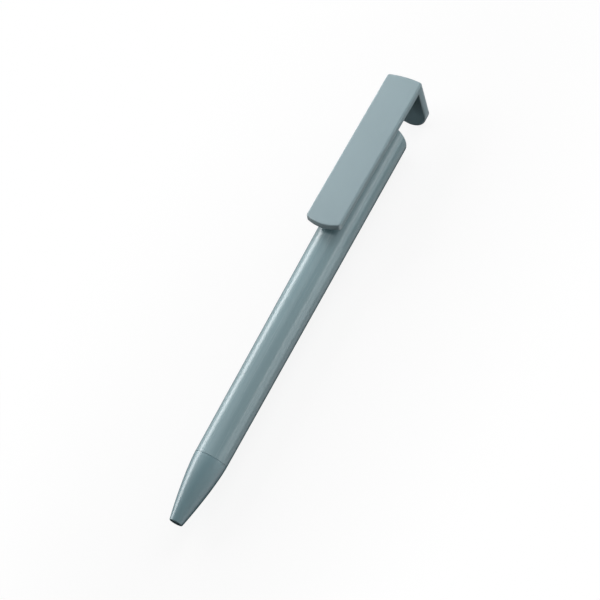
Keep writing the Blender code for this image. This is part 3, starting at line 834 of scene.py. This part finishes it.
@dataclass
class Clip:
    """Flat plate that splays from the barrel, turns down into a hook and carries a snap rib."""

    axis: PenAxis
    barrel: Barrel
    finish: Finish
    length: float = 0.0518
    width: float = 0.0127
    thickness: float = 0.0019
    gap: float = 0.0004
    splay: float = 1.45
    edge_round: float = 0.0005
    least_round: float = 0.0001
    corner_radius: float = 0.0007
    free_end_crown: float = 0.0012
    free_end_slant: float = 28.0
    phone_slot: float = 0.0101
    hook_slant: float = 22.0
    hook_thickness: float = 0.00245
    hook_crown: float = 0.00045
    hook_reach: float = 0.0067
    hook_end_round: float = 0.0055
    hook_fillet: float = 0.0002
    rib_width: float = 0.0024
    rib_length: float = 0.0086
    rib_setback: float = 0.00255
    rib_foot: float = 0.0012
    barb_height: float = 0.0010
    barb_reach: float = 0.0004
    flat_stations: int = 61
    shoulder_stations: int = 5
    edge_stations: int = 15
    arc_steps: int = 8

    # The corner inside the bend, and where points lie on a side of the side view, as shares of it
    BEND_CORNER = 3
    SIDE_SHARES = (0.004, 0.03, 0.1, 0.2, 0.35, 0.5, 0.65, 0.8, 0.9, 0.97, 0.996)

    @property
    def plate_rise(self) -> float:
        """Thickness of the plate measured straight out."""
        return self.thickness / math.cos(math.radians(self.splay))

    @property
    def splay_slope(self) -> float:
        """How far the plate rises for each metre towards the nose."""
        return math.tan(math.radians(self.splay))

    def under(self, along: Lengths) -> Lengths:
        """Distance of the plate's underside from the axis: a straight line rising from the barrel's end."""
        foot = self.barrel.end_diameter / 2 + self.gap
        return foot + (self.barrel.end - along) * self.splay_slope

    def crossing(self, rise: Lengths, start: Lengths, slope: float) -> Array:
        """Where a line leaning by a slope from its start on the axis meets the plate's raised underside."""
        out = (self.under(start) + rise) / (1 + slope * self.splay_slope)
        return np.stack(np.broadcast_arrays(start + slope * out, out), axis=-1)

    def corner_fall(self, across: Array, radius: float) -> Array:
        """How far a quarter round at the clip's side has fallen back: radius less the circle's height."""
        past = np.clip(np.abs(across) - (self.width / 2 - radius), 0.0, radius)
        return radius - np.sqrt(radius**2 - past**2)

    def sections(self, across: Array) -> Array:
        """Corners of the clip's side view at each place across it.

        Every side of the outline is a straight line, moved inwards where the clip's long edges round off.
        The hook's outer face and the free end fall back from the middle with the square of across and round
        off at their corners, and the hook's end follows half an ellipse.

        Args:
            across: places over the clip's width.

        Returns:
            Six corners by place by along and out.
        """
        inset = self.corner_fall(across, self.edge_round)
        square = (2 * across / self.width) ** 2
        lean = math.tan(math.radians(self.hook_slant))
        stretch = 1 / math.cos(math.radians(self.hook_slant))
        foot = self.barrel.end + self.phone_slot
        corner = self.corner_fall(across, self.corner_radius)
        depth = self.hook_thickness + self.hook_crown * (1 - square) - corner
        outer = foot + (depth - inset) * stretch
        inner = foot + inset * stretch
        end = self.hook_end_round * (1 - np.sqrt(1 - square)) - self.hook_reach + inset
        top = self.plate_rise - inset
        bend = self.crossing(self.plate_rise, foot + (self.hook_thickness + self.hook_crown) * stretch, lean)
        free = bend[0] - self.length + self.free_end_crown * square + corner + inset
        free_lean = math.tan(math.radians(self.free_end_slant))
        free_foot = free - free_lean * (self.under(free) + self.plate_rise)
        return np.stack(
            [
                self.crossing(top, outer, lean),
                np.stack([outer + lean * end, end], axis=-1),
                np.stack([inner + lean * end, end], axis=-1),
                self.crossing(inset, inner, lean),
                self.crossing(inset, free_foot, free_lean),
                self.crossing(top, free_foot, free_lean),
            ]
        )

    def stations(self) -> tuple[Array, Array]:
        """Places across the clip, close together where its edges and corners round off.

        Returns:
            The places and how far each lies on a rounded edge.
        """
        flat = self.width / 2 - self.corner_radius
        side_start = self.width / 2 - self.edge_round
        middle = np.linspace(-flat, flat, self.flat_stations)
        shoulder = np.linspace(flat, side_start, self.shoulder_stations)[1:]
        swing = np.linspace(0.0, math.pi / 2, self.edge_stations)[1:]
        side = np.concatenate([shoulder, side_start + self.edge_round * np.sin(swing)])
        # The rounded-edge share drives a painted highlight in the clip's colour, and glossier rubbed edges.
        rub_and_sheen = np.concatenate([np.zeros(len(shoulder)), np.sin(2 * swing)])
        places = np.concatenate([-side[::-1], middle, side])
        return places, np.concatenate([rub_and_sheen[::-1], np.zeros(len(middle)), rub_and_sheen])

    def plate(self) -> tuple[Array, Array]:
        """Plate and hook as a grid: the rounded side view at each station across.

        Returns:
            The points and how far each lies on a rounded edge.
        """
        across, side_edge = self.stations()
        inset = self.corner_fall(across, self.edge_round)
        corners = self.sections(across)
        radii = np.tile(np.maximum(self.edge_round - inset, self.least_round), (len(corners), 1))
        radii[self.BEND_CORNER] = self.hook_fillet + inset
        ring, ring_edge = rounded_ring(corners, radii, self.arc_steps, np.array(self.SIDE_SHARES))
        ring = ring.swapaxes(0, 1)
        points = self.axis.place(ring[..., 0], across[:, None], ring[..., 1])
        return points, np.maximum(side_edge[:, None], ring_edge[None, :])

    def rib(self) -> Array:
        """The rib under the plate with its two barbs: one outline in the side view, drawn out across.

        Returns:
            The rib's points, level by outline.
        """
        high = self.barrel.bore_end - self.rib_setback
        low = high - self.rib_length
        barb = self.rib_foot + self.barb_height
        inside = self.plate_rise / 2
        outline = np.array(
            [
                (low, self.under(low) + inside),
                (low, barb),
                (low - self.barb_reach, barb),
                (low, self.rib_foot),
                (high, self.rib_foot),
                (high + self.barb_reach, barb),
                (high, barb),
                (high, self.under(high) + inside),
            ]
        )
        levels = np.array([-self.rib_width / 2, self.rib_width / 2])[:, None]
        return self.axis.place(outline[None, :, 0], levels, outline[None, :, 1])

    def build(self) -> None:
        """Makes the clip on its carriage."""
        points, edge = self.plate()
        plate = grid_mesh("clip_plate", points, Wrap.ROUND, capped=True, edge=edge)
        rib = grid_mesh("clip_rib", self.rib(), Wrap.ROUND, capped=True)
        mesh = combined(plate, rib, Cut.JOIN)
        add_piece("clip_plate", mesh, "clip_carriage", "clip", self.finish)


@dataclass
class RefillPoint:
    """Turned metal point with the writing ball in its seat."""

    axis: PenAxis
    finish: Finish
    ball_finish: Finish
    recess: float = 0.0015
    ball_diameter: float = 0.0010
    ball_gap: float = 0.00002
    diameter: float = 0.0023
    cone_length: float = 0.0030
    lip: float = 0.00008
    mouth: float = 50.0
    ink_bore: float = 0.0006
    plug_diameter: float = 0.0021
    tube_front: float = 0.0140
    plug_length: float = 0.0030
    seat_gap: float = 0.00015
    edge: float = 0.00012
    around: int = 96
    seat_rings: int = 24
    ball_rings: int = 33
    ball_around: int = 64

    # The outline's rounded corners, by their number, and how many pieces each arc has
    ROUNDED = {3: 4, 4: 6, 5: 6}

    @property
    def ball_centre(self) -> float:
        """Place of the ball's centre along the axis."""
        return self.recess + self.ball_diameter / 2

    def profile(self) -> Array:
        """Outline of the point: plug, shoulder, shank, cone, lip, seat and ink bore.

        Returns:
            The outline's points as along and radius.
        """
        socket = self.ball_diameter / 2 + self.ball_gap
        top = self.tube_front + self.plug_length
        collar = self.tube_front - self.seat_gap
        shank = self.diameter / 2
        ink = self.ink_bore / 2
        swing = np.linspace(-math.radians(self.mouth), math.acos(ink / socket), self.seat_rings)
        seat = np.stack([self.ball_centre + socket * np.sin(swing), socket * np.cos(swing)], axis=-1)
        corners = np.array(
            [
                (top, ink),
                (top, self.plug_diameter / 2),
                (collar, self.plug_diameter / 2),
                (collar, shank),
                (self.recess + self.cone_length, shank),
                (self.ball_centre, socket + self.lip),
                (seat[0, 0], seat[0, 1] + self.lip),
            ]
        )
        before, here, after = (np.roll(corners, shift, axis=0) for shift in (1, 0, -1))
        arcs = [corner_arc(before[i], here[i], after[i], self.edge, n) for i, n in self.ROUNDED.items()]
        return np.concatenate([corners[: min(self.ROUNDED)], *arcs, corners[-1:], seat])

    def ball(self) -> Array:
        """The ball as a grid: radius times sine and cosine of two angles.

        Returns:
            The grid's points.
        """
        lift = np.linspace(0.0, math.pi, self.ball_rings)[:, None]
        radius = self.ball_diameter / 2
        along = self.ball_centre - radius * np.cos(lift)
        return self.axis.turned(along, radius * np.sin(lift), full_turn(self.ball_around))

    def build(self) -> None:
        """Makes the point on the refill and the ball on its own body."""
        profile = self.profile()
        point = self.axis.turned(profile[:, :1], profile[:, 1:], full_turn(self.around))
        mesh = grid_mesh("brass_point", point, Wrap.RING)
        add_piece("brass_point", mesh, "refill", "refill_point", self.finish)
        ball = grid_mesh("writing_ball", self.ball(), Wrap.ROUND)
        add_piece("writing_ball", ball, "ball", "point_ball", self.ball_finish)


@dataclass
class ReturnSpring:
    """Coil between the nose's shoulder and the refill's ears, with a closed turn at each end."""

    axis: PenAxis
    finish: Finish
    low: float = 0.00835
    high: float = 0.02765
    wire: float = 0.0004
    radius: float = 0.00195
    open_turns: int = 9
    closed_turns: int = 1
    closed_rise: float = 0.00045
    travel: float = 0.0055
    steps_a_turn: int = 48
    wire_steps: int = 14

    def coil(self) -> Array:
        """The wire as a grid: a circle carried along a helix.

        Turns gone by rise slowly in the closed ends and evenly between them. The circle is spanned by the
        way out from the axis and by its product with the wire's direction, and shrinks to a point at both
        ends.

        Returns:
            The grid's points.
        """
        turns = self.open_turns + 2 * self.closed_turns
        turn = np.linspace(0.0, turns, turns * self.steps_a_turn + 1)
        places = np.array([0, self.closed_turns, turns - self.closed_turns, turns])
        heights = np.array([self.low, self.low + self.closed_rise, self.high - self.closed_rise, self.high])
        along = np.interp(turn, places, heights)
        angle = math.tau * turn
        out = np.stack([np.zeros_like(angle), np.cos(angle), np.sin(angle)], axis=-1)
        middle = np.stack([along, self.radius * np.cos(angle), self.radius * np.sin(angle)], axis=-1)
        way = np.gradient(middle, axis=0)
        way /= np.linalg.norm(way, axis=-1, keepdims=True)
        side = np.cross(way, out)
        size = np.pad(np.full(len(turn), self.wire / 2), 1)[:, None, None]
        middle, out, side = (
            np.concatenate([line[:1], line, line[-1:]])[:, None, :] for line in (middle, out, side)
        )
        swing = full_turn(self.wire_steps)[None, :, None]
        grid = middle + size * (np.cos(swing) * out + np.sin(swing) * side)
        return self.axis.place(grid[..., 0], grid[..., 1], grid[..., 2])

    def build(self) -> None:
        """Makes the spring on the refill.
        """
        mesh = grid_mesh("coil_spring", self.coil(), Wrap.ROUND)
        piece = add_piece("coil_spring", mesh, "refill", "return_spring", self.finish)
        ears = self.axis.place(self.high + self.wire / 2, 0.0, 0.0)
        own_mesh(piece)


@dataclass
class Mechanism:
    """Inner pieces whose frame shapes stay: they get their materials only."""

    finishes: dict[str, Finish]

    def build(self) -> None:
        """Gives each node of the frame its finish."""
        for node, finish in self.finishes.items():
            finish.cover(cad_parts[node].data)
            log.info("%s: kept from the frame, in %s", node, finish.name)


def facing(point: Vector, right: Vector, back: Vector) -> Matrix:
    """The place of a lamp or a camera that stands at a point, from the directions of its right and back."""
    return Matrix.Translation(point) @ Matrix((right, back.cross(right), back)).transposed().to_4x4()


@dataclass(frozen=True)
class SoftBox:
    """A soft lamp that faces the pen.

    Attributes:
        name: the lamp's name.
        towards: direction of the lamp from the pen.
        distance: distance from the pen.
        width: its width along the pen.
        height: its height.
        brightness: its brightness against a white surface in plain light.
        gloss_only: whether it shows in the pen's gloss alone.
    """

    name: str
    towards: Triple
    distance: float
    width: float
    height: float
    brightness: float
    gloss_only: bool = False

    def build(self, target: Vector) -> None:
        """Puts the lamp up, with its width level.

        A lamp's power is its brightness times its area and pi.

        Args:
            target: the point that it faces.
        """
        lamp = bpy.data.lights.new(self.name, "AREA")
        lamp.shape = "RECTANGLE"
        lamp.size = self.width
        lamp.size_y = self.height
        lamp.energy = self.brightness * self.width * self.height * math.pi
        back = Vector(self.towards).normalized()
        across = Vector((0, 0, 1)).cross(back).normalized()
        holder = put_in(self.name, lamp)
        holder.matrix_world = facing(target + back * self.distance, across, back)
        holder.visible_diffuse = not self.gloss_only


@dataclass(frozen=True)
class GlossCard:
    """A card on the floor that shows only in the pen's gloss.

    Attributes:
        name: the card's name.
        along: its ends along the pen.
        across: its ends across the pen.
        brightness: its brightness, where 1 is white.
    """

    name: str
    along: Span
    across: Span
    brightness: float


@dataclass
class Studio:
    """White floor, gloss cards, soft lamps and the camera."""

    axis: PenAxis
    floor_size: float = 6.0
    floor_white: float = 0.95
    floor_bounce: float = 0.12
    shadow_share: float = 0.12
    shadow_reach: Span = (0.02, 0.09)
    shadow_squeeze: Triple = (0.3, 1.0, 1.0)
    room_light: float = 0.04
    card_lift: float = 0.0001
    view_place: float = 0.07475
    view_aside: float = 0.00012
    view_turn: float = 37.17
    view_tilt: float = 13.69
    view_roll: float = 29.05
    view_distance: float = 1.013
    view_start: float = 0.01
    lens: float = 210.0
    sensor: float = 36.0
    cards: tuple[GlossCard, ...] = (
        GlossCard("dark_card", (-0.05, 0.2), (-0.006, 0.032), 0.02),
        GlossCard("dark_clip_card", (0.097, 0.2), (-0.02, -0.0155), 0.25),
        GlossCard("bright_nose_card", (-0.05, 0.024), (-0.12, -0.009), 1.8),
        GlossCard("bright_card", (0.027, 0.2), (-0.12, -0.0225), 3.0),
        GlossCard("bright_near_card", (0.024, 0.097), (-0.0225, -0.015), 3.0),
    )
    lamps: tuple[SoftBox, ...] = (
        SoftBox("back_strip", (0.24, 0.84, 0.48), 0.45, 0.5, 0.235, 3.9),
        SoftBox("back_gloss", (0.06, 0.86, 0.50), 0.46, 0.62, 0.2, 3.6, gloss_only=True),
        SoftBox("back_fill", (0.1, 0.74, 0.67), 0.6, 0.3, 0.5, 0.6),
        SoftBox("front_strip", (0.34, -0.94, 0.09), 0.6, 0.37, 0.1, 4.6),
        SoftBox("front_fill", (-0.2, -0.85, 0.45), 0.8, 1.0, 0.6, 0.25),
        SoftBox("top_strip", (0.12, 0.05, 0.97), 0.6, 0.7, 0.14, 1.4),
        SoftBox("hook_panel", (0.78, -0.45, 0.42), 1.2, 0.8, 0.6, 2.3),
        SoftBox("end_panel", (0.8, -0.1, 0.59), 1.2, 0.8, 0.8, 3.1),
    )

    @property
    def target(self) -> Vector:
        """The point on the axis that the camera faces."""
        return Vector((self.axis.nose + self.view_place, 0.0, self.axis.height))

    @staticmethod
    def sheet(
        name: str, ends: Span, sides: Span, height: float, stuff: bpy.types.Material
    ) -> bpy.types.Object:
        """A level stage sheet.

        Args:
            name: the sheet's name.
            ends: its lowest and highest x.
            sides: its lowest and highest y.
            height: its z.
            stuff: its material.

        Returns:
            The sheet.
        """
        x, y = (grid.ravel() for grid in np.meshgrid(ends, sides, indexing="ij"))
        mesh = bpy.data.meshes.new(name)
        mesh.from_pydata(np.stack([x, y, np.full_like(x, height)], axis=-1), [], [(0, 2, 3, 1)])
        mesh.materials.append(stuff)
        sheet = put_in(name, mesh)
        return sheet

    def seen_white(self, bench: Bench) -> Socket:
        """A value that is 1 where a ray comes from the camera, a reflection or a clear piece.

        Args:
            bench: the bench of the floor or the room.

        Returns:
            The value's socket.
        """
        path = bench.add("ShaderNodeLightPath").outputs
        total = path["Is Camera Ray"]
        for name in ("Is Glossy Ray", "Is Transmission Ray"):
            total = bench.add("ShaderNodeMath", {0: total, 1: path[name]}, operation="MAXIMUM").outputs[0]
        return total

    def shadow_part(self, bench: Bench) -> Socket:
        """How much of the floor's white keeps shadows: a share near the pen that fades to none round it.

        Args:
            bench: the floor's bench.

        Returns:
            The share's socket.
        """
        inputs = {0: bench.place, 1: self.shadow_squeeze}
        squeezed = bench.add("ShaderNodeVectorMath", inputs, operation="MULTIPLY").outputs["Vector"]
        length = bench.add("ShaderNodeVectorMath", {0: squeezed}, operation="LENGTH").outputs["Value"]
        fade = (self.shadow_share, 0.0)
        return bench.spread(length, self.shadow_reach, fade, interpolation_type="SMOOTHSTEP")

    def floor(self) -> None:
        """The white floor: seen, it glows white and keeps a part of the pen's shadow; unseen, it is pale."""
        bench = Bench.for_material("floor_white")
        bench.tree.nodes.clear()
        pale = bench.add("ShaderNodeBsdfDiffuse", {"Color": grey(self.floor_bounce)}).outputs[0]
        white = bench.add("ShaderNodeBsdfDiffuse", {"Color": grey(self.floor_white)}).outputs[0]
        glow = bench.add("ShaderNodeEmission").outputs[0]
        seen = {"Fac": self.shadow_part(bench), 1: glow, 2: white}
        whole = {"Fac": self.seen_white(bench), 1: pale, 2: bench.add("ShaderNodeMixShader", seen).outputs[0]}
        surface = bench.add("ShaderNodeMixShader", whole).outputs[0]
        bench.add("ShaderNodeOutputMaterial", {"Surface": surface})
        span = (-self.floor_size / 2, self.floor_size / 2)
        self.sheet("floor", span, span, CAD_BOX[0].z, bench.owner)

    def card(self, card: GlossCard) -> None:
        """A card on the floor along the pen that only the pen's gloss sees.

        Args:
            card: its place and brightness.
        """
        bench = Bench.for_material(card.name)
        bench.set(Base_Color=grey(0.0), Specular_IOR_Level=0.0)
        bench.set(Emission_Color=grey(1.0), Emission_Strength=card.brightness)
        ends = tuple(self.axis.nose + along for along in card.along)
        sheet = self.sheet(card.name, ends, card.across, CAD_BOX[0].z + self.card_lift, bench.owner)
        for ray in ("camera", "diffuse", "shadow", "transmission"):
            setattr(sheet, f"visible_{ray}", False)

    def room(self) -> None:
        """Even light from all sides, seen as white."""
        bench = Bench(bpy.data.worlds.new("room"))
        background = bench.tree.nodes["Background"].inputs
        bench.feed(background["Color"], grey(1.0))
        strength = bench.spread(self.seen_white(bench), (0.0, 1.0), (self.room_light, 1.0))
        bench.feed(background["Strength"], strength)
        bpy.context.scene.world = bench.owner

    def camera(self) -> None:
        """The camera: turned about the pen from the clip's face, tilted to the nose, and rolled."""
        turn, tilt, roll = (math.radians(x) for x in (self.view_turn, self.view_tilt, self.view_roll))
        back = Vector((-math.sin(tilt), -math.cos(tilt) * math.sin(turn), math.cos(tilt) * math.cos(turn)))
        side = Vector((0.0, -math.cos(turn), -math.sin(turn)))
        right = side * math.cos(roll) + back.cross(side) * math.sin(roll)
        data = bpy.data.cameras.new("camera")
        data.lens = self.lens
        data.sensor_width = self.sensor
        data.clip_start = self.view_start
        camera = put_in("camera", data)
        point = self.target + side * self.view_aside + back * self.view_distance
        camera.matrix_world = facing(point, right, back)
        bpy.context.scene.camera = camera

    def build(self) -> None:
        """Sets up the floor, the cards, the room, the lamps and the camera."""
        bpy.context.scene.view_settings.view_transform = "Standard"
        self.floor()
        for card in self.cards:
            self.card(card)
        self.room()
        for lamp in self.lamps:
            lamp.build(self.target)
        self.camera()
        log.info("studio: %d lamps and %d cards", len(self.lamps), len(self.cards))


def main() -> None:
    """Builds the pen's pieces in order, then the studio."""
    logging.basicConfig(level=logging.INFO, format="%(message)s")
    axis = PenAxis.from_frame()
    barrel = Barrel(axis, BARREL_PLASTIC)
    barrel.build()
    NoseCone(axis, NOSE_PLASTIC).build()
    Clip(axis, barrel, CLIP_PLASTIC).build()
    RefillPoint(axis, BRASS, HARD_METAL).build()
    ReturnSpring(axis, SPRING_WIRE).build()
    Mechanism(
        {
            "slider": ACETAL,
            "cam_sleeve": ACETAL,
            "rotor_cam": ACETAL,
            "refill_tube": TUBE_PLASTIC,
            "ink_column": INK,
        }
    ).build()
    Studio(axis).build()


if __name__ == "__main__":
    main()
